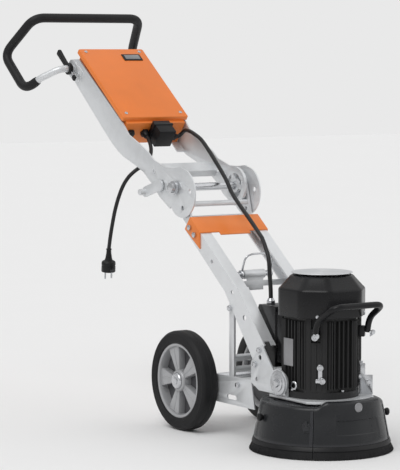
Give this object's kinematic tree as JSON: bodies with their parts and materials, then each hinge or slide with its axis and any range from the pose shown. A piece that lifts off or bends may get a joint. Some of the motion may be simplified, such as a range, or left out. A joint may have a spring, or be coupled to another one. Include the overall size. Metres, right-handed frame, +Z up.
{
  "type": "concrete grinder",
  "caption": "Walk-behind concrete grinder: vertical electric motor over a shrouded grinding disc, folding sheet-metal frame on wheels, control box and adjustable handlebar.",
  "frame": {"origin": "on the floor, at the middle of the overall width and length", "axes": "+Z up, -Y towards the grinding head at the front, +Y towards the operator; the supply cord hangs on the -X side"},
  "size_m": [0.4329, 1.3795, 1.0495],
  "materials": {
    "zinc_sheet": "galvanised, satin",
    "bright_steel": "turned, clean",
    "orange_paint": "powder coat, satin",
    "black_paint": "powder coat, satin",
    "black_plastic": "fine grain",
    "grey_plastic": "fine grain",
    "tyre_rubber": "matte",
    "soft_rubber": "matte",
    "rim_plastic": "moulded, satin",
    "red_plastic": "moulded",
    "green_plastic": "moulded",
    "light_plastic": "moulded",
    "board_green": "lacquered",
    "copper": "lacquered windings",
    "diamond": "sintered"
  },
  "bodies": {
    "chassis": {"lower_legs": "zinc_sheet", "side_plates": "zinc_sheet", "cross_members": "zinc_sheet", "leg_cover": "orange_paint", "lower_hinge_plates": "zinc_sheet", "hinge_shaft": "bright_steel", "axle": "bright_steel", "pin_bracket": "black_paint", "chassis_bolts": "bright_steel", "cable_middle": "soft_rubber"},
    "wheel_left": {"tyre_left": "tyre_rubber", "rim_left": "rim_plastic"},
    "wheel_right": {"tyre_right": "tyre_rubber", "rim_right": "rim_plastic"},
    "upper_frame": {"upper_arms": "zinc_sheet", "hinge_disc": "bright_steel", "control_box": "orange_paint", "box_lid": "orange_paint", "lid_screws": "bright_steel", "display": "black_plastic", "motor_connector": "black_plastic", "box_glands": "black_plastic", "circuit_board": "board_green", "contactor": "light_plastic", "button_collars": "black_plastic", "cable_upper": "soft_rubber", "supply_cord": "soft_rubber", "plug": "soft_rubber"},
    "stop_button": {"stop_mushroom": "red_plastic"},
    "start_button_body": {"start_button": "green_plastic"},
    "off_button_body": {"off_button": "red_plastic"},
    "fold_lock": {"lock_lever": "zinc_sheet"},
    "handlebar": {"handle_tube": "zinc_sheet", "handle_grip": "soft_rubber"},
    "clamp": {"clamp_lever": "black_plastic"},
    "cross_pin": {"lock_pin": "bright_steel"},
    "bail": {"pin_bail": "bright_steel"},
    "head": {"head_plate": "zinc_sheet", "pivot_pins": "bright_steel", "motor_frame": "black_paint", "fan_cover": "black_paint", "terminal_box": "black_paint", "motor_gland": "black_plastic", "lifting_handle": "black_paint", "head_bolts": "bright_steel", "stator": "copper", "motor_bearings": "bright_steel", "cable_lower": "soft_rubber"},
    "rotor": {"rotor_shaft": "bright_steel", "cooling_fan": "grey_plastic", "grinding_disc": "bright_steel", "diamond_segments": "diamond"},
    "shroud_body": {"shroud": "grey_plastic", "brush_skirt": "soft_rubber"},
    "front_segment": {"front_cover": "grey_plastic", "front_brush": "soft_rubber"},
    "right_knob": {"knob_right": "black_plastic"},
    "left_knob": {"knob_left": "black_plastic"}
  },
  "joints": [
    {"name": "wheel_left_spin", "type": "hinge", "parent": "chassis", "child": "wheel_left", "pos_m": [-0.129, -0.111, 0.125], "axis": [1, 0, 0], "continuous": true},
    {"name": "wheel_right_spin", "type": "hinge", "parent": "chassis", "child": "wheel_right", "pos_m": [0.129, -0.111, 0.125], "axis": [1, 0, 0], "continuous": true},
    {"name": "frame_fold", "type": "hinge", "parent": "chassis", "child": "upper_frame", "pos_m": [0, -0.02996, 0.60273], "axis": [1, 0, 0], "range_deg": [0, 105], "deforming": ["cable_upper", "cable_middle"]},
    {"name": "fold_lock_turn", "type": "hinge", "parent": "upper_frame", "child": "fold_lock", "pos_m": [-0.105, 0.04303, 0.60441], "axis": [1, 0, 0], "range_deg": [0, 50]},
    {"name": "handlebar_tilt", "type": "hinge", "parent": "upper_frame", "child": "handlebar", "pos_m": [0, 0.49253, 0.89898], "axis": [1, 0, 0], "range_deg": [-25, 90]},
    {"name": "clamp_turn", "type": "hinge", "parent": "handlebar", "child": "clamp", "pos_m": [-0.113, 0.49253, 0.89898], "axis": [1, 0, 0], "range_deg": [0, 60]},
    {"name": "stop_press", "type": "slide", "parent": "upper_frame", "child": "stop_button", "axis": [0, -0.7944, -0.6074], "range_m": [0, 0.004], "stiffness_N_per_m": 800, "springref_m": -0.004},
    {"name": "start_press", "type": "slide", "parent": "upper_frame", "child": "start_button_body", "axis": [0, -0.7944, -0.6074], "range_m": [0, 0.003], "stiffness_N_per_m": 600, "springref_m": -0.003},
    {"name": "off_press", "type": "slide", "parent": "upper_frame", "child": "off_button_body", "axis": [0, -0.7944, -0.6074], "range_m": [0, 0.003], "stiffness_N_per_m": 600, "springref_m": -0.003},
    {"name": "pin_slide", "type": "slide", "parent": "chassis", "child": "cross_pin", "axis": [-1, 0, 0], "range_m": [0, 0.012]},
    {"name": "bail_swing", "type": "hinge", "parent": "cross_pin", "child": "bail", "pos_m": [-0.012, -0.247, 0.397], "axis": [1, 0, 0], "range_deg": [0, 70]},
    {"name": "head_pivot", "type": "hinge", "parent": "chassis", "child": "head", "pos_m": [0, -0.487, 0.162], "axis": [1, 0, 0], "range_deg": [-5, 5], "deforming": ["cable_lower"]},
    {"name": "rotor_spin", "type": "hinge", "parent": "head", "child": "rotor", "pos_m": [0, -0.517, 0.2], "axis": [0, 0, 1], "continuous": true},
    {"name": "shroud_float", "type": "slide", "parent": "head", "child": "shroud_body", "axis": [0, 0, 1], "range_m": [0, 0.003]},
    {"name": "front_pull", "type": "slide", "parent": "shroud_body", "child": "front_segment", "axis": [0, -1, 0], "range_m": [0, 0.04]},
    {"name": "right_knob_turn", "type": "hinge", "parent": "shroud_body", "child": "right_knob", "pos_m": [0.14434, -0.58126, 0.085], "axis": [0.9135, -0.4067, 0], "continuous": true},
    {"name": "left_knob_turn", "type": "hinge", "parent": "shroud_body", "child": "left_knob", "pos_m": [-0.1551, -0.48685, 0.085], "axis": [-0.9816, 0.1908, 0], "continuous": true}
  ]
}
